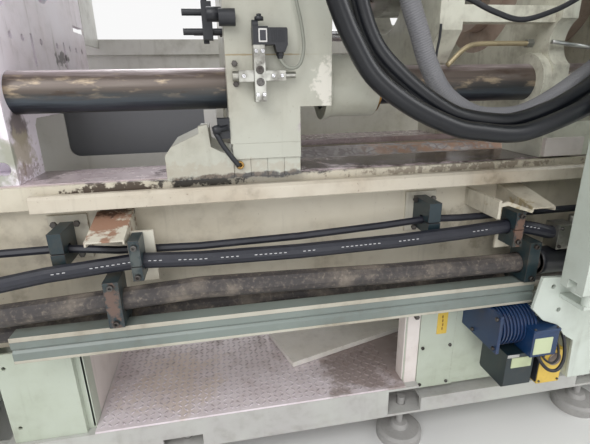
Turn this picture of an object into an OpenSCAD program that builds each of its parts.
// Horizontal injection moulding machine with a direct hydraulic clamp.
// Origin on the floor under the middle of the machine, +X towards the clamp end, -Y towards the operator.

/* [Clamp] */
// Diameter of the four tie bars
tie_d = 90; // [70:1:100]
// Distance between tie bar axes, both ways
tie_pitch = 560; // [540:5:600]
// Width of both platens
platen_w = 780; // [760:5:800]
// Height of the platen plates
platen_h = 790; // [780:5:820]
// Height of the feet under both platens
foot_h = 74; // [70:1:90]
// Thickness of the fixed platen
fixed_t = 180; // [150:5:200]
// Thickness of the moving platen at its side
moving_t = 155; // [140:5:170]
// Thickness of the thick back part of the moving platen
moving_back_t = 70; // [50:5:90]
// Gap between the mould faces as the machine stands
opening = 453; // [430:1:470]
// Diameter of the tie bar bosses behind the moving platen
boss_d = 144; // [136:1:160]
// Length of the tie bar bosses
boss_l = 129; // [100:1:135]
// Diameter of the clamp ram
ram_d = 180; // [150:5:190]
// Outer diameter of the main cylinder
cylinder_d = 380; // [340:5:400]
// Diameter of the traverse cylinder rods
rod_d = 36; // [30:1:40]
// Diameter of the ejector pins
ejector_pin_d = 30; // [20:1:30]
// Running clearance of a shaft in its bush, each side
running = 0.05; // [0.02:0.01:0.1]
// Gap between a sliding face and its track
slide_gap = 0.3; // [0.2:0.1:0.5]

/* [Bed] */
// Height of the slideways above the floor
way_h = 881; // [871:1:891]
// Thickness of the hardened way strips
way_t = 20; // [15:1:25]
// Half width of the bed over its side faces
bed_half = 360; // [350:1:365]
// Depth of the recess from the bed's side face to its web
recess = 30; // [20:1:40]
// Thickness of the bed webs
web_t = 30; // [20:1:32]
// Height of the bed's top flange with its way strip
flange_h = 54; // [46:1:66]
// Height of the bed's beams
bed_h = 401; // [391:1:411]
// How far the front ledge stands out of the bed
ledge_out = 30; // [20:1:35]

/* [Base] */
// Height of the base rails above the floor
base_z = 115; // [100:1:120]
// Height of the base rails' section
base_rail_h = 52; // [40:1:56]
// Height of the tread plate above the floor
pit_z = 220; // [215:1:240]
// Diameter of the levelling pads
pad_d = 140; // [120:1:160]
// Distance between levelling pads along the machine
pad_pitch = 650; // [600:10:660]
// Length of the base
base_l = 4600; // [4500:10:4600]

/* [Guards] */
// Length of the sliding front gate
gate_l = 1200; // [1150:10:1220]
// Depth of the gate's frame
gate_t = 65; // [50:1:65]
// Distance of the gate's lower edge below the slideways
gate_drop = 269; // [261:1:276]
// Height of the gate
gate_h = 1280; // [1200:10:1300]
// Thickness of guard sheet
sheet_t = 3; // [2:0.5:4]
// Distance of the lower rail's top edge below the slideways
rail_drop = 303; // [291:1:321]
// Height of the lower rail's section
rail_h = 62; // [50:1:66]

/* [Injection unit] */
// Outer diameter of the plasticising barrel
barrel_d = 130; // [120:1:140]
// Diameter of the screw
screw_d = 50; // [40:1:55]
// Number of heater bands
band_n = 5; // [3:1:6]
// Width of a heater band
band_w = 110; // [80:1:120]
// Width of the hopper at its top
hopper_w = 420; // [360:10:460]
// Height of the hopper above its foot
hopper_h = 480; // [400:10:520]

/* [Hoses] */
// Diameter of the two black loop hoses
loop_d = 38; // [34:1:42]
// Diameter of the wrapped hose
wrapped_d = 42; // [36:1:44]
// Diameter of the thin hanging hose
thin_d = 11; // [9:1:14]
// Diameter of the two return tubes
tube_d = 50; // [42:1:52]
// Diameter of the pressure hose in the recess
pressure_d = 34; // [26:1:36]
// Diameter of the pilot hose in the recess
pilot_d = 19; // [14:1:22]
// Diameter of the valve's cable
cable_d = 7; // [5:0.5:8]
// Clearance of a hose in its clamp, each side
clamp_gap = 2; // [1.8:0.1:3]
// Gap between the front return tube and its rubber sleeve
sleeve_gap = 0.5; // [0.4:0.1:0.9]

/* [Hidden] */
$fn = 64;
fixed_x = -127;
// Shift of everything that was measured above slideways at 881 mm
rise = way_h - 881;
axis_h = way_h + foot_h + platen_h / 2;
flange_z = way_h - flange_h;
bed_bottom = way_h - bed_h;
gate_z = way_h - gate_drop;
rail_z = way_h - rail_drop;
moving_x = fixed_x + opening;
back_x = moving_x + moving_t;
rear_x = back_x + moving_back_t;
platen_y = platen_w / 2;
tie_y = tie_pitch / 2;
tie_low = axis_h - tie_pitch / 2;
platen_low = axis_h - platen_h / 2;
platen_top = axis_h + platen_h / 2;
way_in = 190;
way_out = 347;
lip_z = way_h - 3;
seat_z = way_h - way_t;
web_out = bed_half - recess;
web_in = web_out - web_t;
fixed_y = way_out - 2;
bed_x0 = -420;
bed_x1 = 2300;
base_half = base_l / 2;
base_top = base_z + base_rail_h;
pit_x0 = -76;
pit_x1 = 792;
flange_x = 834;
tank_x = 945;
tail_a = 824;
tail_a_t = 59;
tail_b = 1128;
tail_b_t = 45;
tail_c = 1380;
tail_c_t = 60;
tail_y = 350;
tie_end = 1530;
cylinder_end = 1850;
gate_x = 1076;
gate_front = -610;
gate_back = gate_front + gate_t;
guard_y = -gate_front;
gate_mid = gate_front + gate_t / 2;
sill_z = pit_z - sheet_t * 2;
pad_x0 = -500;
rail_y = -460;
barrel_x0 = -1300;
barrel_x1 = -340;
feed_x = -1290;
lug_pitch = 28;
traverse_y = 205;
traverse_z = 120;
ejector_y = 210;
pin_y = 150;
slot_y = 235;
hinge_d = 14;
hinge_pin_d = 6;
hinge_out = 10;

// Routes of the hoses above slideways at 881 mm, as points in millimetres
FRONT_LOOP = [[484, -512, 1500], [484, -512, 1490], [486, -512, 1420], [495, -512, 1340], [510, -512, 1265],
    [526, -512, 1218], [555, -512, 1157], [603, -512, 1087], [683, -512, 1030], [780, -512, 987],
    [843, -512, 975], [910, -512, 968], [961, -512, 974], [1048, -512, 1003], [1120, -512, 1038],
    [1200, -512, 1095], [1265, -512, 1165], [1310, -512, 1245], [1330, -512, 1328], [1330, -512, 1340]];
MIDDLE_LOOP = [[552, -464, 1500], [552, -464, 1490], [554, -464, 1420], [562, -464, 1330], [583, -464, 1226],
    [618, -464, 1147], [675, -464, 1090], [745, -464, 1040], [818, -464, 1004], [917, -464, 988],
    [971, -464, 993], [1019, -464, 1007], [1066, -464, 1025], [1130, -464, 1062], [1190, -464, 1115],
    [1238, -464, 1180], [1266, -464, 1258], [1272, -464, 1328], [1272, -464, 1340]];
WRAPPED_LOOP = [[672, -410, 1500], [672, -410, 1490], [676, -410, 1410], [690, -410, 1310], [711, -410, 1237],
    [735, -410, 1180], [765, -410, 1109], [812, -410, 1045], [887, -410, 1003], [967, -410, 996],
    [1019, -410, 1004], [1081, -410, 1032], [1140, -410, 1069], [1200, -410, 1113], [1265, -410, 1170],
    [1325, -410, 1238], [1365, -410, 1300], [1372, -410, 1330], [1372, -410, 1340]];
THIN_LOOP = [[600, -460, 1500], [600, -460, 1490], [606, -460, 1420], [640, -460, 1340], [700, -460, 1285],
    [770, -460, 1249], [821, -460, 1230], [875, -460, 1209], [940, -460, 1195], [1015, -460, 1214],
    [1070, -460, 1240], [1130, -460, 1274], [1178, -460, 1305], [1194, -460, 1332], [1194, -460, 1340]];
FRONT_TUBE = [[-330, -430, 612], [-320, -430, 612], [-165, -430, 619], [54, -430, 630], [233, -430, 640],
    [466, -430, 634], [700, -430, 626], [1060, -430, 622], [1090, -430, 622], [1290, -430, 622],
    [1300, -430, 622]];
REAR_TUBE = [[-330, -375, 548], [-320, -375, 548], [-160, -375, 546], [54, -375, 554], [225, -375, 568],
    [500, -375, 570], [780, -375, 562], [1060, -375, 556], [1290, -375, 556], [1300, -375, 556]];
PRESSURE_HOSE = [[-330, -440, 680], [-320, -440, 680], [-200, -440, 690], [-74, -440, 708], [100, -440, 722],
    [125, -440, 722], [240, -440, 715], [466, -440, 712], [710, -440, 716], [860, -440, 722],
    [988, -440, 730], [1016, -440, 730], [1075, -440, 716], [1114, -440, 704], [1124, -440, 704]];
PILOT_HOSE = [[-330, -385, 742], [-320, -385, 742], [-53, -385, 744], [60, -385, 730], [239, -385, 724],
    [478, -385, 728], [690, -385, 738], [806, -385, 746], [900, -385, 742], [1290, -385, 744],
    [1300, -385, 744]];
VALVE_CABLE = [[436, -413, 1132], [436, -413, 1126], [446, -420, 1112], [462, -421, 1108], [477, -419, 1118],
    [485, -414, 1150], [480, -412, 1195], [470, -411, 1245], [468, -411, 1320], [470, -411, 1420],
    [476, -412, 1490], [476, -412, 1500]];

// Box from two opposite corners
module block(a, b) {
    translate(a) cube(b - a);
}

// Cylinder along +X from x0 to x1 on the axis (y, z)
module rod_x(x0, x1, d, y = 0, z = axis_h) {
    translate([x0, y, z]) rotate([0, 90, 0]) cylinder(h = x1 - x0, d = d);
}

// Cylinder along +Y from y0 to y1 on the axis (x, z)
module rod_y(y0, y1, d, x, z) {
    translate([x, y0, z]) rotate([-90, 0, 0]) cylinder(h = y1 - y0, d = d);
}

// Outline given as [y, z] points, run along +X from x0 to x1
module run_x(x0, x1) {
    translate([x0, 0, 0]) rotate([90, 0, 90]) linear_extrude(x1 - x0) children();
}

// Outline given as [x, z] points, run along +Y from y0 to y1
module run_y(y0, y1) {
    translate([0, y1, 0]) rotate([90, 0, 0]) linear_extrude(y1 - y0) children();
}

// Rectangle with rounded corners, from corner a to corner b
module soft_rect(a, b, r) {
    w = b[0] - a[0];
    h = b[1] - a[1];
    translate(a) union() {
        translate([r, 0]) square([w - 2 * r, h]);
        translate([0, r]) square([w, h - 2 * r]);
        for (x = [r, w - r], y = [r, h - r]) translate([x, y]) circle(r);
    }
}

// The children, and their mirror image behind the machine's centre plane
module both_sides() {
    children();
    mirror([0, 1, 0]) children();
}

// The children at each of the four tie bar axes
module at_tie_bars() {
    for (y = [-tie_y, tie_y], z = [axis_h - tie_pitch / 2, axis_h + tie_pitch / 2]) {
        translate([0, y, z]) children();
    }
}

function unit(v) = v / norm(v);

function raised(p) = [for (q = p) q + [0, 0, rise]];

function tangent(p, i) = unit(p[min(i + 1, len(p) - 1)] - p[max(i - 1, 0)]);

function ring(p, i, r, n, t, u) = [for (k = [0 : n - 1]) p[i] + r * (cos(360 * k / n) * u
    + sin(360 * k / n) * cross(t, u))];

// Round tube with closed ends along the points p, whose route keeps close to an XZ plane
module hose(p, d, n = 12) {
    m = len(p);
    pts = [for (i = [0 : m - 1]) let (t = tangent(p, i), u = unit(cross([0, 1, 0], t)))
        each ring(p, i, d / 2, n, t, u)];
    sides = [for (i = [0 : m - 2], k = [0 : n - 1])
        [i * n + k, (i + 1) * n + k, (i + 1) * n + (k + 1) % n, i * n + (k + 1) % n]];
    ends = [[for (k = [0 : n - 1]) k], [for (k = [n - 1 : -1 : 0]) (m - 1) * n + k]];
    polyhedron(pts, concat(sides, ends), convexity = 6);
}

// Bed

module beam_outline() {
    polygon([[-bed_half, flange_z], [-web_out, flange_z], [-web_out, bed_bottom], [-150, bed_bottom],
        [-150, bed_bottom + 20], [-web_in, bed_bottom + 20], [-web_in, flange_z], [-way_in + 10, flange_z],
        [-way_in + 10, seat_z], [-way_out, seat_z], [-way_out, lip_z], [-bed_half, lip_z]]);
}

module bed_beams() {
    color("#bcbaa8") both_sides() run_x(bed_x0, bed_x1) beam_outline();
}

module bed_crossmembers() {
    color("#a9a995") for (x = [-400, 430, 1150, 1700, 2250]) {
        run_x(x, x + 30) polygon([[-web_in, bed_bottom + 20], [web_in, bed_bottom + 20], [web_in, flange_z],
            [90, flange_z], [90, bed_bottom + 150], [-90, bed_bottom + 150], [-90, flange_z],
            [-web_in, flange_z]]);
    }
}

module way_strips() {
    color("#8d8799") both_sides() block([bed_x0 + 90, -way_out, seat_z], [tail_c + 400, -way_in, way_h]);
}

module ledge_rail() {
    out = bed_half + ledge_out;
    color("#a9a088") run_x(-102, bed_x1) polygon([[-bed_half, flange_z], [-out, flange_z],
        [-out, lip_z - 22], [-out + 6, lip_z - 16], [-out + 20, lip_z - 16], [-bed_half - 4, lip_z - 24],
        [-bed_half, lip_z - 24]]);
}

module bed_deck() {
    deck_y = way_in - 10;
    color("#d8c8c8") run_x(bed_x0 + 880, bed_x1 - 60) polygon([[-deck_y, seat_z - 16], [-deck_y, seat_z - 4],
        [-deck_y + 70, seat_z - 4], [-deck_y + 90, seat_z - 24], [deck_y - 90, seat_z - 24],
        [deck_y - 70, seat_z - 4], [deck_y, seat_z - 4], [deck_y, seat_z - 16], [deck_y - 66, seat_z - 16],
        [deck_y - 86, seat_z - 34], [-deck_y + 86, seat_z - 34], [-deck_y + 66, seat_z - 16]]);
}

// Base

module base_rail_outline(top) {
    polygon([[-370, base_z], [-290, base_z], [-290, base_z + 8], [-356, base_z + 8], [-356, top - 8],
        [-290, top - 8], [-290, top], [-370, top]]);
}

module base_frame() {
    color("#b9bda8") difference() {
        union() {
            both_sides() run_x(-base_half, base_half) base_rail_outline(base_top);
            for (x = [-base_half, -1480, -820, -290, 480, 1200, 1800, base_half - 40]) {
                block([x, -360, base_z + 4], [x + 40, 360, base_top - 4]);
            }
            both_sides() run_x(-290, flange_x) polygon([[-370, base_top - 2], [-290, base_top - 2],
                [-290, sill_z], [-370, sill_z]]);
        }
        for (i = [-2 : 4], s = [-1, 1]) {
            translate([pad_pitch * i + pad_x0, s * 328, base_z - 1]) cylinder(h = 10, d = 26);
        }
        for (i = [-2 : 4]) {
            x = pad_pitch * i + pad_x0;
            block([x - 60, -371, base_z + 8], [x + 46, -300, i == 2 ? sill_z - 8 : base_top - 8]);
        }
    }
}

module leg_panels() {
    color("#b4bba6") {
        both_sides() difference() {
            block([-270, -360, sill_z], [-97, -300, bed_bottom]);
            block([-265, -355, sill_z - 1], [-102, -299, bed_bottom + 1]);
            for (z = [sill_z + 46, bed_bottom - 40]) rod_y(-361, -354, 10, -250, z);
        }
        both_sides() block([-97, -345, sill_z], [pit_x0, -300, bed_bottom]);
        both_sides() run_y(-345, -300) polygon([[pit_x1, sill_z], [flange_x, sill_z], [flange_x, bed_bottom],
            [pit_x1 + 6, bed_bottom], [pit_x1, bed_bottom - 40]]);
        both_sides() block([flange_x, -bed_half + 10, base_top + 20], [tank_x, -bed_half + 16, bed_bottom]);
    }
}

module tread_plate() {
    plate_t = sheet_t * 2;
    top = pit_z;
    color("#a79b9f") {
        block([pit_x0, -370, top - plate_t], [pit_x1, 340, top]);
        block([pit_x1 - 1, -298, top - plate_t], [tank_x - 5, 298, top]);
        for (i = [0 : 34], j = [0 : 11]) if (i < 30 || (j > 1 && j < 11)) {
            turn = (i + j) % 2 == 0 ? 45 : -45;
            translate([pit_x0 + 24 + i * lug_pitch, -350 + j * 2 * lug_pitch, top - 1]) rotate([0, 0, turn])
                translate([-10, -2.5, 0]) cube([20, 5, 3]);
        }
    }
}

module cover_tray() {
    tray_l = 452;
    tray_w = 196;
    tray_h = 18;
    translate([479, -220, pit_z + 2]) rotate([0, 0, 16.3]) color("#c6c6b8") difference() {
        cube([tray_l, tray_w, tray_h]);
        translate([sheet_t, sheet_t, -1]) cube([tray_l - 2 * sheet_t, tray_w - 2 * sheet_t, tray_h - sheet_t + 1]);
    }
}

module levelling_pads() {
    color("#8f9090") for (i = [-2 : 4], s = [-1, 1]) {
        translate([pad_pitch * i + pad_x0, s * 328, 0]) rotate_extrude() polygon([[0, 0], [pad_d / 2, 0],
            [pad_d / 2, 26], [pad_d / 2 - 8, 34], [30, 38], [24, 52], [10, 54], [10, base_z - 22],
            [18, base_z - 22], [18, base_z], [12, base_z], [12, base_z + 34], [0, base_z + 34]]);
    }
}

module oil_tank() {
    front = bed_half - 10;
    color("#b8bfab") difference() {
        union() {
            block([tank_x, -front, base_top + 20], [bed_x1 - 20, front, bed_bottom]);
            for (x = [1340, 1800]) block([x, -front - 6, base_top + 60], [x + 400, -front, bed_bottom - 40]);
            for (x = [tank_x + 15, bed_x1 - 80]) block([x, -front + 30, base_top], [x + 40, front - 30, base_top + 20]);
        }
        block([tank_x + 8, -front + 8, base_top + 28], [bed_x1 - 28, front - 8, bed_bottom - 8]);
        block([tank_x + 6, -front - 1, base_top + 19], [tank_x + 142, -front + 3, base_top + 38]);
        rod_y(-front - 1, -front + 12, 60, 1300, bed_bottom - 70);
    }
}

// Guides of the front gate

module gate_lower_rail() {
    rail_x0 = -168;
    rail_x1 = 1085;
    low = rail_z - rail_h;
    color("#8b9a8e") {
        run_x(rail_x0, rail_x1) polygon([[rail_y, low], [rail_y, low + 24], [rail_y + 5, low + 30],
            [rail_y, low + 36], [rail_y, rail_z], [rail_y + 40, rail_z], [rail_y + 40, rail_z - 4],
            [rail_y + 4, rail_z - 4], [rail_y + 4, low + 38], [rail_y + 9, low + 30], [rail_y + 4, low + 22],
            [rail_y + 4, low + 4], [rail_y + 40, low + 4], [rail_y + 40, low]]);
        for (x = [-120, 420, 860]) {
            run_x(x, x + 30) polygon([[rail_y + 36, low], [-web_out, bed_bottom + 16], [-web_out, bed_bottom],
                [rail_y + 36, low - 8]]);
        }
    }
}

module gate_top_rail() {
    top_z = gate_z + gate_h;
    neck = 7;
    color("#b9bfae") {
        run_x(-230, base_half) translate([gate_mid, top_z + 4]) union() {
            polygon([[-26, 0], [-26, 56], [26, 56], [26, 0], [neck, 0], [neck, 4], [18, 4], [18, 48], [-18, 48],
                [-18, 4], [-neck, 4], [-neck, 0]]);
        }
        for (x = [-220, tail_c]) {
            block([x, gate_mid + 25, top_z + 20], [x + 40, -270, top_z + 60]);
            block([x, -310, platen_top], [x + 40, -270, top_z + 21]);
        }
        block([base_half - 60, gate_mid + 25, top_z + 20], [base_half - 20, -300, top_z + 60]);
        block([base_half - 60, -340, seat_z], [base_half - 20, -300, top_z + 21]);
    }
}

module end_bracket() {
    color("#ccd8cc") translate([0, 0, rise]) {
        difference() {
            run_y(-515, -507) polygon([[1056, 616], [1130, 612], [1156, 596], [1260, 560], [1260, 300],
                [1190, 300], [1182, 420], [1150, 440], [1126, 474], [1078, 494], [1042, 530]]);
            rod_y(-516, -506, 12, 1090, 588);
            rod_y(-516, -506, 12, 1118, 520);
        }
        block([1100, -508, 494], [1150, -web_out, 506]);
        block([1190, -508, 300], [1198, -bed_half + 10, 420]);
        block([1112, gate_mid - 10, 558], [1142, -514, 568]);
        translate([1126, gate_mid, 567]) cylinder(h = 60, d = 22);
    }
}

// Hoses in the bed's recess

module cantilever(x0, w) {
    top = flange_z - 14;
    front = -470;
    block([x0, -web_out - 4, top - 60], [x0 + w, -web_out, top]);
    run_x(x0, x0 + w) polygon([[-web_out - 4, top], [-web_out - 4, top - 4], [front, top - 34],
        [front, top - 30]]);
    for (x = [x0, x0 + w - 4]) {
        run_x(x, x + 4) polygon([[-web_out - 4, top - 2], [-web_out - 4, top - 60], [front, top - 40],
            [front, top - 32]]);
    }
}

module hose_brackets() {
    plate_y = -418;
    top = flange_z - 14;
    color("#c9c9bb") {
        cantilever(18, 78);
        cantilever(1032, 64);
        block([940, -470, top - 52], [948, -web_out, top - 6]);
        run_y(-470, -464) polygon([[940, top - 14], [966, top - 10], [1034, top - 36], [1034, top - 44],
            [964, top - 20], [940, top - 24]]);
        translate([0, 0, rise]) {
            block([88, plate_y, 664], [146, plate_y + 6, 782]);
            block([982, plate_y, 664], [1044, plate_y + 6, 778]);
            for (x = [-92, 768]) block([x, -web_out - 6, 700], [x + 84, -web_out, 806]);
        }
    }
}

// Split clamp block round one hose, with the hose's centre at (y, z) and a parting slit towards the front
module hose_clamp(x, w, y0, y1, z0, z1, d, y, z) {
    difference() {
        block([x, y0, z0], [x + w, y1, z1]);
        rod_x(x - 1, x + w + 1, d + 2 * clamp_gap, y, z);
        block([x - 1, y0 - 1, z - 1], [x + w + 1, y - d / 2, z + 1]);
    }
}

// Stepped clamp block that holds both return tubes and passes over the guard's lower rail
module tube_clamp(x, top, z_front, z_rear) {
    step_z = 582;
    difference() {
        union() {
            block([x, -470, step_z], [x + 32, -402, top]);
            block([x, -412, 512], [x + 32, -web_out, step_z + 20]);
        }
        rod_x(x - 1, x + 33, tube_d + 2 * clamp_gap, -430, z_front);
        rod_x(x - 1, x + 33, tube_d - 4 + 2 * clamp_gap, -375, z_rear);
    }
}

module hose_clamps() {
    color("#28484a") translate([0, 0, rise]) {
        tube_clamp(38, 690, 630, 554);
        tube_clamp(1044, 690, 622, 556);
        hose_clamp(102, 22, -474, -418, 690, 780, pressure_d, -440, 722);
        hose_clamp(990, 24, -474, -418, 686, 774, pressure_d, -440, 730);
        hose_clamp(-67, 28, -421.5, -web_out - 6, 712, 790, pilot_d, -385, 744);
        hose_clamp(790, 32, -421.5, -web_out - 6, 716, 796, pilot_d, -385, 746);
    }
}

module return_tubes() {
    color("#6b635c") {
        hose(raised(FRONT_TUBE), tube_d);
        difference() {
            rod_x(1096, 1200, tube_d + 22, -430, 622 + rise);
            rod_x(1095, 1201, tube_d + 2 * sleeve_gap, -430, 622 + rise);
        }
        hose(raised(REAR_TUBE), tube_d - 4);
    }
}

module pressure_hose() {
    color("#3a3c46") hose(raised(PRESSURE_HOSE), pressure_d);
}

module pilot_hose() {
    color("#26282e") hose(raised(PILOT_HOSE), pilot_d, 8);
}

module port_blocks() {
    color("#9a9a92") translate([0, 0, rise]) {
        block([-400, -470, 520], [-330, -web_out, 780]);
        block([1300, -470, 520], [1370, -web_out, 780]);
        block([1124, -464, 664], [1172, -418, 728]);
        block([1171, -468, 664], [1206, -418, 716]);
        rod_x(1205, 1301, 24, -440, 690);
        translate([1190, -440, 715]) cylinder(h = 28, d = 34, $fn = 6);
        block([1170, -540, 1340], [1440, -tail_y, 1410]);
    }
}

// Clamp

// Outline of a platen as [y, z] with the half width half: feet at the sides and a raised middle
module platen_outline(half, low = platen_low) {
    polygon([[-half, low], [-200, low], [-200, platen_low + 40], [-185, platen_low + 55],
        [185, platen_low + 55], [200, platen_low + 40], [200, low], [half, low], [half, platen_top - 40],
        [half - 40, platen_top], [-half + 40, platen_top], [-half, platen_top - 40]]);
}

// Slot of T section in a mould face at x, running along Y, opening towards side s
module t_slot(x, s, y0, y1, z) {
    block([min(x, x + s * 20) - 1, y0, z - 9], [max(x, x + s * 20) + 1, y1, z + 9]);
    block([min(x + s * 16, x + s * 32), y0, z - 16], [max(x + s * 16, x + s * 32), y1, z + 16]);
}

// Rows of tapped holes and narrow upright slots in a mould face at x
module bolt_rows(x, s) {
    x0 = min(x - s, x + s * 36);
    x1 = max(x - s, x + s * 36);
    for (y = [58, 170, 232, 293], k = [-1, 1], z = [-160, 160]) {
        rod_x(x0, x1, 16, k * y, axis_h + z);
    }
    for (y = [-117, 117], z = [-220, 146]) {
        block([min(x - s, x + s * 18), y - 6, axis_h + z], [max(x - s, x + s * 18), y + 6, axis_h + z + 74]);
    }
}

module fixed_platen() {
    x0 = fixed_x - fixed_t;
    color("#cbc7c4") difference() {
        run_x(x0, fixed_x) platen_outline(fixed_y, way_h);
        at_tie_bars() rod_x(x0 - 1, fixed_x + 1, tie_d + 2 * running, 0, 0);
        rod_x(x0 - 1, fixed_x - 40, 220);
        rod_x(fixed_x - 41, fixed_x + 1, 125);
        for (z = [-95, 95]) both_sides() t_slot(fixed_x, -1, -fixed_y - 1, -slot_y, axis_h + z);
        bolt_rows(fixed_x, -1);
        both_sides() run_y(-fixed_y - 1, -fixed_y + 60) soft_rect([fixed_x - 120, way_h + 22],
            [fixed_x - 10, way_h + 50], 13);
    }
}

// Outline of the two walls that carry the main cylinder, standing on the ways
module tail_wall() {
    polygon([[-tail_y, way_h], [-200, way_h], [-180, way_h + 100], [180, way_h + 100], [200, way_h],
        [tail_y, way_h], [tail_y, platen_top - 40], [tail_y - 40, platen_top], [-tail_y + 40, platen_top],
        [-tail_y, platen_top - 40]]);
}

module tail_frame() {
    hole = ram_d + 90;
    color("#a9ab97") difference() {
        union() {
            run_x(tail_a, tail_a + tail_a_t) polygon([[-270, tie_low + tie_d / 2 + 4],
                [270, tie_low + tie_d / 2 + 4], [330, axis_h - 160], [330, axis_h + 160],
                [270, 2 * axis_h - tie_low - tie_d / 2 - 4], [-270, 2 * axis_h - tie_low - tie_d / 2 - 4],
                [-330, axis_h + 160], [-330, axis_h - 160]]);
            run_x(tail_b, tail_b + tail_b_t) tail_wall();
            run_x(tail_c, tail_c + tail_c_t) tail_wall();
            both_sides() for (z = [axis_h - 143, axis_h + 106]) {
                block([tail_a + tail_a_t - 1, -330, z], [tail_b + 1, -290, z + 37]);
            }
            both_sides() block([tail_b + tail_b_t - 1, -tail_y, way_h], [tail_c + 1, -200, way_h + 90]);
            both_sides() block([tail_b + tail_b_t - 1, -tail_y + 20, platen_top - 90],
                [tail_c + 1, -tail_y + 60, platen_top - 40]);
            at_tie_bars() rod_x(tail_b - 24, tail_b + 1, tie_d + 52, 0, 0);
        }
        rod_x(tail_a - 1, tail_a + tail_a_t + 1, hole);
        rod_x(tail_b - 1, tail_b + tail_b_t + 1, cylinder_d);
        rod_x(tail_c - 1, tail_c + tail_c_t + 1, cylinder_d);
        at_tie_bars() rod_x(tail_b - 30, tail_c + tail_c_t + 1, tie_d + 2 * running, 0, 0);
        for (s = [-1, 1]) {
            rod_x(tail_a - 1, tail_a + tail_a_t + 1, rod_d + 4, s * traverse_y, axis_h - s * traverse_z);
            rod_x(tail_b - 1, tail_b + tail_b_t + 1, 70, s * traverse_y, axis_h - s * traverse_z);
        }
        both_sides() run_x(tail_b - 1, tail_b + tail_b_t + 1) translate([-tail_y - 30, tie_low + 92])
            circle(60);
    }
}

module tie_bars() {
    color("#8f7f6c") at_tie_bars() rod_x(-400, tie_end, tie_d, 0, 0);
}

// Hexagon nut on a tie bar from x0 to x1
module tie_nut(x0, x1) {
    difference() {
        translate([x0, 0, 0]) rotate([0, 90, 0]) cylinder(h = x1 - x0, d = tie_d + 62, $fn = 6);
        rod_x(x0 - 1, x1 + 1, tie_d, 0, 0);
    }
}

module tie_bar_nuts() {
    color("#6d6a66") at_tie_bars() {
        tie_nut(fixed_x - fixed_t - 80, fixed_x - fixed_t);
        tie_nut(tail_c + tail_c_t, tail_c + tail_c_t + 70);
    }
}

module main_cylinder() {
    neck_x = tail_b - 40;
    color("#a08c82") translate([0, 0, axis_h]) rotate([0, 90, 0]) rotate_extrude() polygon([
        [ram_d / 2 + running, neck_x], [ram_d / 2 + 40, neck_x], [ram_d / 2 + 40, tail_b],
        [cylinder_d / 2, tail_b], [cylinder_d / 2, cylinder_end - 60],
        [cylinder_d / 2 + 12, cylinder_end - 60], [cylinder_d / 2 + 12, cylinder_end], [60, cylinder_end],
        [60, cylinder_end + 40], [0, cylinder_end + 40], [0, cylinder_end - 70],
        [ram_d / 2 + 15, cylinder_end - 70], [ram_d / 2 + 15, tail_b + 90], [ram_d / 2 + running, tail_b + 90]]);
}

module clamp_ram() {
    color("#b8b8ba") translate([0, 0, axis_h]) rotate([0, 90, 0]) rotate_extrude() polygon([
        [0, rear_x], [ram_d / 2 + 40, rear_x], [ram_d / 2 + 40, rear_x + 30], [ram_d / 2, rear_x + 36],
        [ram_d / 2, tail_c + 120], [0, tail_c + 120]]);
}

module traverse_cylinders() {
    x0 = tail_a + tail_a_t;
    color("#a9ab97") for (s = [-1, 1]) translate([0, s * traverse_y, axis_h - s * traverse_z]) difference() {
        union() {
            rod_x(x0, tail_c - 30, 70, 0, 0);
            rod_x(x0, x0 + 26, 90, 0, 0);
        }
        rod_x(x0 - 1, tail_c - 50, rod_d + 2 * running, 0, 0);
    }
}

module traverse_rods() {
    color("#c0c0c2") for (s = [-1, 1]) translate([0, s * traverse_y, axis_h - s * traverse_z]) {
        rod_x(rear_x, tail_b + 80, rod_d, 0, 0);
        rod_x(rear_x, rear_x + 26, rod_d + 24, 0, 0);
    }
}

module moving_platen() {
    step_z = platen_low + 75;
    color("#bcbcaa") difference() {
        union() {
            run_x(moving_x, back_x) platen_outline(platen_y);
            run_x(back_x - 1, rear_x) polygon([[-platen_y, step_z], [platen_y, step_z],
                [platen_y, platen_top - 40], [platen_y - 40, platen_top], [-platen_y + 40, platen_top],
                [-platen_y, platen_top - 40]]);
        }
        at_tie_bars() rod_x(moving_x - 1, rear_x + 1, tie_d + 16, 0, 0);
        for (y = [-pin_y, pin_y]) rod_x(moving_x - 1, rear_x + 1, ejector_pin_d + 4, y);
        for (z = [-95, 95]) both_sides() t_slot(moving_x, 1, -platen_y - 1, -slot_y, axis_h + z);
        bolt_rows(moving_x, 1);
    }
}

module tie_bar_bosses() {
    color("#bcbcaa") at_tie_bars() difference() {
        union() {
            rod_x(rear_x, rear_x + boss_l, boss_d, 0, 0);
            rod_x(rear_x, rear_x + 14, boss_d + 12, 0, 0);
        }
        rod_x(rear_x - 1, rear_x + boss_l + 1, tie_d + 16, 0, 0);
    }
}

module platen_bushes() {
    color("#9a8350") at_tie_bars() for (x = [moving_x + 10, rear_x + boss_l - 70]) difference() {
        union() {
            rod_x(x, x + 70, tie_d + 16, 0, 0);
            if (x > rear_x) rod_x(x + 70, x + 78, tie_d + 40, 0, 0);
        }
        rod_x(x - 1, x + 79, tie_d + 2 * running, 0, 0);
    }
}

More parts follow.
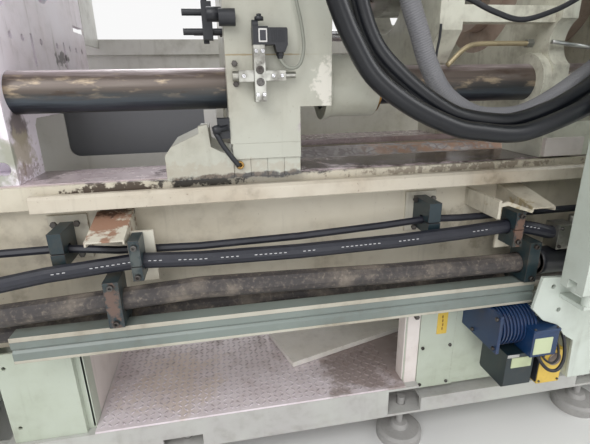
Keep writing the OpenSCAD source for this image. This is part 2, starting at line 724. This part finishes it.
// Foot and sloped front shoe that carry the moving platen on one way
module platen_foot() {
    low = way_h + slide_gap;
    top = platen_low;
    shoe_x0 = moving_x - 141;
    rib_x = moving_x - 67;
    seam = 0.6;
    run_y(-platen_y, -205) polygon([[moving_x + 4, low + 40], [back_x, low + 40], [back_x, top],
        [moving_x + 4, top]]);
    for (i = [0 : 3]) {
        x = moving_x + 4 + i * (moving_t - 4) / 4;
        block([x, -platen_y + 4, low], [x + (moving_t - 4) / 4 - seam, -205, low + 40]);
    }
    difference() {
        run_y(-platen_y, -205) polygon([[shoe_x0, low], [shoe_x0, low + 55], [shoe_x0 + 14, low + 73],
            [rib_x, low + 99], [rib_x, top + 40], [rib_x + 20, top + 44], [rib_x + 24, low + 70],
            [rib_x + 46, low + 58], [moving_x - 0.01, low + 52], [moving_x + 3.5, low + 52],
            [moving_x + 3.5, low]]);
        block([rib_x - 1, -platen_y + 24, low + 105], [rib_x + 25, -204, top + 60]);
    }
}

module platen_feet() {
    color("#c2c1ae") both_sides() platen_foot();
}

module platen_valve() {
    face = -platen_y;
    color("#a3a5a0") translate([0, 0, rise]) {
        difference() {
            union() {
                block([381, face - 38, 1044], [404, face, 1152]);
                block([350, face - 30, 1083], [404, face, 1105]);
                block([404, face - 30, 1084], [446, face, 1104]);
                rod_x(446, 468, 13, face - 16, 1095);
                rod_x(338, 350, 20, face - 16, 1094);
            }
            for (z = [1082, 1105]) rod_y(face - 39, face - 30, 10, 392.5, z);
        }
        for (p = [[388, 1050], [398, 1050], [388, 1118], [398, 1120]]) rod_y(face - 42, face - 38, 6, p[0], p[1]);
    }
}

module valve_coil() {
    face = -platen_y;
    color("#33363b") translate([0, 0, rise]) {
        block([381, face - 40, 1152], [411, face - 4, 1185]);
        run_y(face - 38, face - 8) polygon([[411, 1152], [411, 1183], [448, 1183], [450, 1180], [450, 1152],
            [444, 1138], [428, 1138], [424, 1152]]);
        rod_x(381, 393, 20, face - 22, 1188);
        translate([436, face - 23, 1132]) cylinder(h = 6, d = 12);
    }
}

module valve_cable() {
    color("#8d9088") hose(raised(VALVE_CABLE), cable_d, 8);
}

module hose_junction() {
    color("#a8aa9c") translate([0, 0, rise]) {
        block([380, -538, 1500], [700, -platen_y, 1560]);
        block([400, -platen_y - 40, 1559], [rear_x - 20, -platen_y, 1600]);
    }
}

module platen_fittings() {
    face = -platen_y;
    color("#2c3a3e") translate([0, 0, rise]) {
        rod_x(moving_x - 8, moving_x + 24, 32, face - 16, 1203);
        block([moving_x - 26, face - 4, 968], [moving_x, face + 30, 1010]);
        block([moving_x - 42, -300, 1173], [moving_x - 20, -270, 1249]);
        for (z = [1190, 1229]) rod_x(moving_x - 84, moving_x, 14, -285, z);
    }
}

module ejector_cylinders() {
    color("#9c9e90") for (y = [-ejector_y, ejector_y]) difference() {
        rod_x(rear_x, rear_x + 84, 70, y);
        rod_x(rear_x + 6, rear_x + 85, 24 + 2 * running, y);
    }
}

module ejector_yoke() {
    x0 = rear_x + 140;
    color("#8a8c88") {
        difference() {
            run_x(x0, x0 + 25) union() {
                soft_rect([-250, axis_h - 40], [250, axis_h + 40], 20);
                translate([0, axis_h]) circle(ram_d / 2 + 35);
            }
            rod_x(x0 - 1, x0 + 26, ram_d + 16);
        }
        for (y = [-pin_y, pin_y]) rod_x(moving_x + 2, x0 + 1, ejector_pin_d, y);
        for (y = [-ejector_y, ejector_y]) rod_x(rear_x + 60, x0 + 1, 24, y);
    }
}

// Lubrication unit

module lube_motor() {
    mid_y = -450;
    mid_z = 457;
    color("#274a86") translate([0, 0, rise]) {
        rod_x(972, 1082, 100, mid_y, mid_z);
        for (i = [0 : 9]) rod_x(980 + i * 10, 984 + i * 10, 112, mid_y, mid_z);
        block([964, -506, 402], [973, -bed_half + 10, 512]);
        block([1046, -530, 397], [1120, -470, 470]);
    }
}

module lube_reservoir() {
    color("#2c383e") translate([0, 0, rise]) {
        run_x(1003, 1085) polygon([[-503, 292], [-497, 286], [-406, 286], [-400, 292], [-400, 384],
            [-503, 384]]);
        block([999, -508, 384], [1089, -396, 395]);
        block([1010, -396, 384], [1078, -bed_half + 10, 392]);
    }
}

module lube_box() {
    color("#d9bf55") translate([0, 0, rise]) {
        block([1098, -512, 292], [1166, -450, 390]);
        block([1112, -450, 330], [1144, -bed_half + 10, 350]);
    }
}

// Guards and chute

module part_chute() {
    wall = sheet_t + 1;
    chute_top = platen_low + 48;
    low = way_h - 241;
    x0 = -270;
    x1 = 300;
    color("#8f9c94") {
        difference() {
            block([x0, 100, low], [x1, 100 + wall, chute_top]);
            run_y(99, 101 + wall) soft_rect([x0 + 112, way_h - 9], [x1 - 40, chute_top + 40], 30);
        }
        block([x0, way_in - 10 - wall, low], [x1, way_in - 10, chute_top]);
        for (x = [x0, x1 - wall]) block([x, 100, low], [x + wall, way_in - 10, chute_top - 150]);
    }
}

module rear_guard() {
    channel_z = 1202 + rise;
    color("#a7b8a6") {
        block([-260, guard_y, gate_z], [1430, guard_y + sheet_t, channel_z]);
        run_x(-260, 1430) polygon([[guard_y - 16, channel_z - 4], [guard_y - 16, channel_z + 54],
            [guard_y + 40, channel_z + 54], [guard_y + 40, channel_z - 4], [guard_y + 36, channel_z - 4],
            [guard_y + 36, channel_z + 50], [guard_y - 12, channel_z + 50], [guard_y - 12, channel_z],
            [guard_y + sheet_t, channel_z], [guard_y + sheet_t, channel_z - 4]]);
        for (x = [-250, tail_c + 10]) {
            block([x, x > 0 ? tail_y : fixed_y, 1000 + rise], [x + 40, guard_y, 1040 + rise]);
        }
        block([fixed_x - 20, fixed_y + 60, channel_z + 20], [fixed_x - 14, guard_y - 15, platen_top]);
    }
}

module front_gate() {
    x1 = gate_x + gate_l;
    top = gate_z + gate_h;
    post = 60;
    mid = gate_z + 330;
    neck = 7 - slide_gap - 0.7;
    lip_top = top + 8;
    color("#cdd7cb") {
        difference() {
            union() {
                for (x = [gate_x, x1 - post]) block([x, gate_front, gate_z], [x + post, gate_back, top]);
                for (z = [gate_z, mid, top - post]) {
                    block([gate_x + post - 1, gate_front + 6, z], [x1 - post + 1, gate_back - 6, z + post]);
                }
                block([gate_x + post - 1, gate_front, gate_z + post - 1],
                    [x1 - post + 1, gate_front + sheet_t, mid + 1]);
            }
            block([gate_x - 1, gate_mid - 12, gate_z - 1], [x1 + 1, gate_mid + 12, gate_z + 24]);
        }
        for (x = [gate_x + 30, x1 - 90]) {
            block([x, gate_mid - neck, top - 1], [x + 60, gate_mid + neck, lip_top + 2]);
            block([x, gate_mid - 15, lip_top + slide_gap], [x + 60, gate_mid + 15, lip_top + 30]);
        }
        for (z = [mid + 200, mid + 420]) rod_y(gate_front - 30, gate_front + 1, 16, gate_x + 30, z);
        translate([gate_x + 30, gate_front - 30, mid + 190]) cylinder(h = 240, d = 20);
    }
}

module gate_window() {
    x1 = gate_x + gate_l;
    mid = gate_z + 330;
    color("#c8d4d8", 0.4) block([gate_x + 60, gate_front + 28, mid + 60],
        [x1 - 60, gate_front + 34, gate_z + gate_h - 60]);
}

// Hoses between the moving platen and the tail frame

module loop_hose_front() {
    color("#3c3f4a") hose(raised(FRONT_LOOP), loop_d);
}

module loop_hose_middle() {
    color("#3c3f4a") hose(raised(MIDDLE_LOOP), loop_d);
}

module wrapped_hose() {
    color("#7a7b7d") hose(raised(WRAPPED_LOOP), wrapped_d);
}

module thin_hose() {
    color("#55585a") hose(raised(THIN_LOOP), thin_d, 8);
}

// Injection unit

module injection_base() {
    x0 = -base_half;
    color("#b8bfab") {
        difference() {
            block([x0, -350, base_top], [bed_x0, 350, 760 + rise]);
            block([x0 + 8, -342, base_top - 1], [bed_x0 - 8, 342, 740 + rise]);
            for (x = [x0 + 60, x0 + 660, x0 + 1260]) {
                block([x, -351, base_top + 60], [x + 540, -348, 700 + rise]);
                for (z = [560 : 24 : 660]) block([x + 120, -352, z + rise], [x + 420, -340, z + rise + 10]);
            }
        }
        for (y = [-200, 200]) {
            for (x = [x0 + 40, bed_x0 - 80]) block([x, y - 30, 759 + rise], [x + 60, y + 30, 860 + rise]);
            rod_x(x0 + 30, bed_x0 - 10, 60, y, 830 + rise);
        }
        translate([0, 0, rise]) {
            block([-700, -410, 700], [-640, -350, 1240]);
            translate([-670, -380, 1239]) cylinder(h = 116, d = 40);
        }
    }
}

module injection_carriage() {
    color("#bcbcaa") difference() {
        union() {
            block([-1900, -260, 874 + rise], [-900, 260, 930 + rise]);
            for (x = [-1860, -1000]) for (y = [-200, 200]) {
                block([x, y - 50, 782 + rise], [x + 90, y + 50, 875 + rise]);
            }
            run_x(barrel_x0 - 120, barrel_x0 + 100) polygon([[-230, 929 + rise], [230, 929 + rise],
                [230, axis_h + 60], [120, axis_h + 150], [-120, axis_h + 150], [-230, axis_h + 60]]);
        }
        rod_x(barrel_x0 - 121, barrel_x0 + 101, barrel_d);
        for (y = [-200, 200]) rod_x(-1901, -899, 60 + 2 * running, y, 830 + rise);
        translate([feed_x + 30, 0, axis_h]) cylinder(h = 160, d = 60);
        for (y = [-175, 175]) rod_x(barrel_x0 - 121, barrel_x0 + 101, 44 + 2 * running, y);
    }
}

module barrel() {
    color("#8b8884") difference() {
        translate([0, 0, axis_h]) rotate([0, 90, 0]) rotate_extrude() polygon([
            [screw_d / 2 + running, barrel_x0 - 120], [barrel_d / 2, barrel_x0 - 120],
            [barrel_d / 2, barrel_x1], [50, barrel_x1], [50, barrel_x1 + 60], [30, barrel_x1 + 70],
            [26, barrel_x1 + 180], [10, barrel_x1 + 196], [3, barrel_x1 + 196], [3, barrel_x1 + 70],
            [screw_d / 2 + running, barrel_x1 + 40]]);
        translate([feed_x + 30, 0, axis_h]) cylinder(h = 160, d = 44);
    }
}

module heater_bands() {
    span = barrel_x1 - barrel_x0 - 160;
    color("#a8a29a") for (i = [0 : band_n - 1]) {
        x = barrel_x0 + 130 + i * span / band_n;
        difference() {
            union() {
                rod_x(x, x + band_w, barrel_d + 14);
                block([x + 20, -30, axis_h + barrel_d / 2 + 2], [x + 70, 30, axis_h + barrel_d / 2 + 40]);
            }
            rod_x(x - 1, x + band_w + 1, barrel_d);
        }
    }
}

module hopper() {
    foot_z = axis_h + 150;
    cx = feed_x + 30;
    neck = 70;
    half = hopper_w / 2;
    wall = sheet_t;
    color("#c9cac6") {
        difference() {
            block([cx - 90, -90, foot_z], [cx + 90, 90, foot_z + 60]);
            translate([cx, 0, foot_z - 1]) cylinder(h = 62, d = 60);
        }
        difference() {
            hull() {
                block([cx - neck, -neck, foot_z + 60], [cx + neck, neck, foot_z + 62]);
                block([cx - half, -half, foot_z + hopper_h * 0.6], [cx + half, half, foot_z + hopper_h * 0.6 + 1]);
            }
            hull() {
                block([cx - neck + wall, -neck + wall, foot_z + 58], [cx + neck - wall, neck - wall, foot_z + 62]);
                block([cx - half + wall, -half + wall, foot_z + hopper_h * 0.6],
                    [cx + half - wall, half - wall, foot_z + hopper_h * 0.6 + 2]);
            }
        }
        difference() {
            block([cx - half, -half, foot_z + hopper_h * 0.6], [cx + half, half, foot_z + hopper_h]);
            block([cx - half + wall, -half + wall, foot_z + hopper_h * 0.6 - 1],
                [cx + half - wall, half - wall, foot_z + hopper_h + 1]);
        }
        block([cx - 18, half - 1, foot_z + hopper_h - 40], [cx + 18, half + hinge_out, foot_z + hopper_h]);
        rod_x(cx - 18, cx + 18, hinge_d, half + hinge_out, foot_z + hopper_h + 4);
        rod_x(cx - 60, cx + 60, hinge_pin_d, half + hinge_out, foot_z + hopper_h + 4);
    }
}

module hopper_lid() {
    z = axis_h + 150 + hopper_h + slide_gap;
    cx = feed_x + 30;
    half = hopper_w / 2;
    pin_z = axis_h + 150 + hopper_h + 4;
    color("#d0d0cc") {
        block([cx - half, -half, z], [cx + half, half, z + sheet_t]);
        for (s = [-1, 1]) difference() {
            union() {
                rod_x(cx + s * 39 - 20, cx + s * 39 + 20, hinge_d, half + hinge_out, pin_z);
                block([cx + s * 39 - 20, half - 1, z], [cx + s * 39 + 20, half + hinge_out, z + sheet_t]);
            }
            rod_x(cx + s * 39 - 21, cx + s * 39 + 21, hinge_pin_d + 2 * running, half + hinge_out, pin_z);
        }
        rod_y(-half - 22, -half + 1, 14, cx, z + 7);
    }
}

module screw_drive() {
    color("#9fa497") difference() {
        union() {
            block([-1700, -240, axis_h - 110], [-1600, 240, axis_h + 110]);
            rod_x(-1980, -1700, 230);
            for (y = [-175, 175]) rod_x(-1601, barrel_x0 + 60, 44, y);
        }
        rod_x(-1701, -1599, screw_d + 2 * running);
        rod_x(-1760, -1699, screw_d + 2 * running);
    }
}

module injection_screw() {
    color("#b9b6b0") rod_x(-1740, barrel_x1 - 20, screw_d);
}

module control_panel() {
    color("#c5cbbf") translate([0, 0, rise]) difference() {
        union() {
            run_x(-860, -480) polygon([[-400, 1330], [-480, 1310], [-500, 1330], [-470, 1760], [-450, 1780],
                [-390, 1780], [-380, 1760], [-380, 1330]]);
            translate([-670, -380, 1240 + slide_gap]) cylinder(h = 140, d = 64);
        }
        translate([-670, -380, 1230]) cylinder(h = 126, d = 40 + 2 * running);
        block([-820, -520, 1500], [-520, -474, 1720]);
        block([-850, -462, 1400], [-490, -392, 1740]);
        rod_y(-393, -379, 30, -560, 1500);
        translate([-520, -496.5, 1380]) rotate([86, 0, 0]) translate([0, 0, -22])
            cylinder(h = 40, d = 20 + 2 * running);
    }
}

module stop_button() {
    color("#b3241f") translate([-520, -496.5, 1380 + rise]) rotate([86, 0, 0]) {
        translate([0, 0, -12]) cylinder(h = 22, d = 20);
        translate([0, 0, 9]) cylinder(h = 14, d = 40);
    }
}

bed_beams();
bed_crossmembers();
way_strips();
ledge_rail();
bed_deck();
base_frame();
leg_panels();
tread_plate();
cover_tray();
levelling_pads();
oil_tank();
gate_lower_rail();
gate_top_rail();
hose_brackets();
hose_clamps();
return_tubes();
pressure_hose();
pilot_hose();
port_blocks();
fixed_platen();
tail_frame();
tie_bars();
tie_bar_nuts();
main_cylinder();
traverse_cylinders();
lube_motor();
lube_reservoir();
lube_box();
end_bracket();
part_chute();
rear_guard();
loop_hose_front();
loop_hose_middle();
wrapped_hose();
thin_hose();
injection_base();
moving_platen();
tie_bar_bosses();
platen_feet();
platen_bushes();
clamp_ram();
traverse_rods();
platen_valve();
valve_coil();
valve_cable();
hose_junction();
platen_fittings();
ejector_cylinders();
ejector_yoke();
front_gate();
gate_window();
injection_carriage();
barrel();
heater_bands();
hopper();
screw_drive();
injection_screw();
hopper_lid();
control_panel();
stop_button();
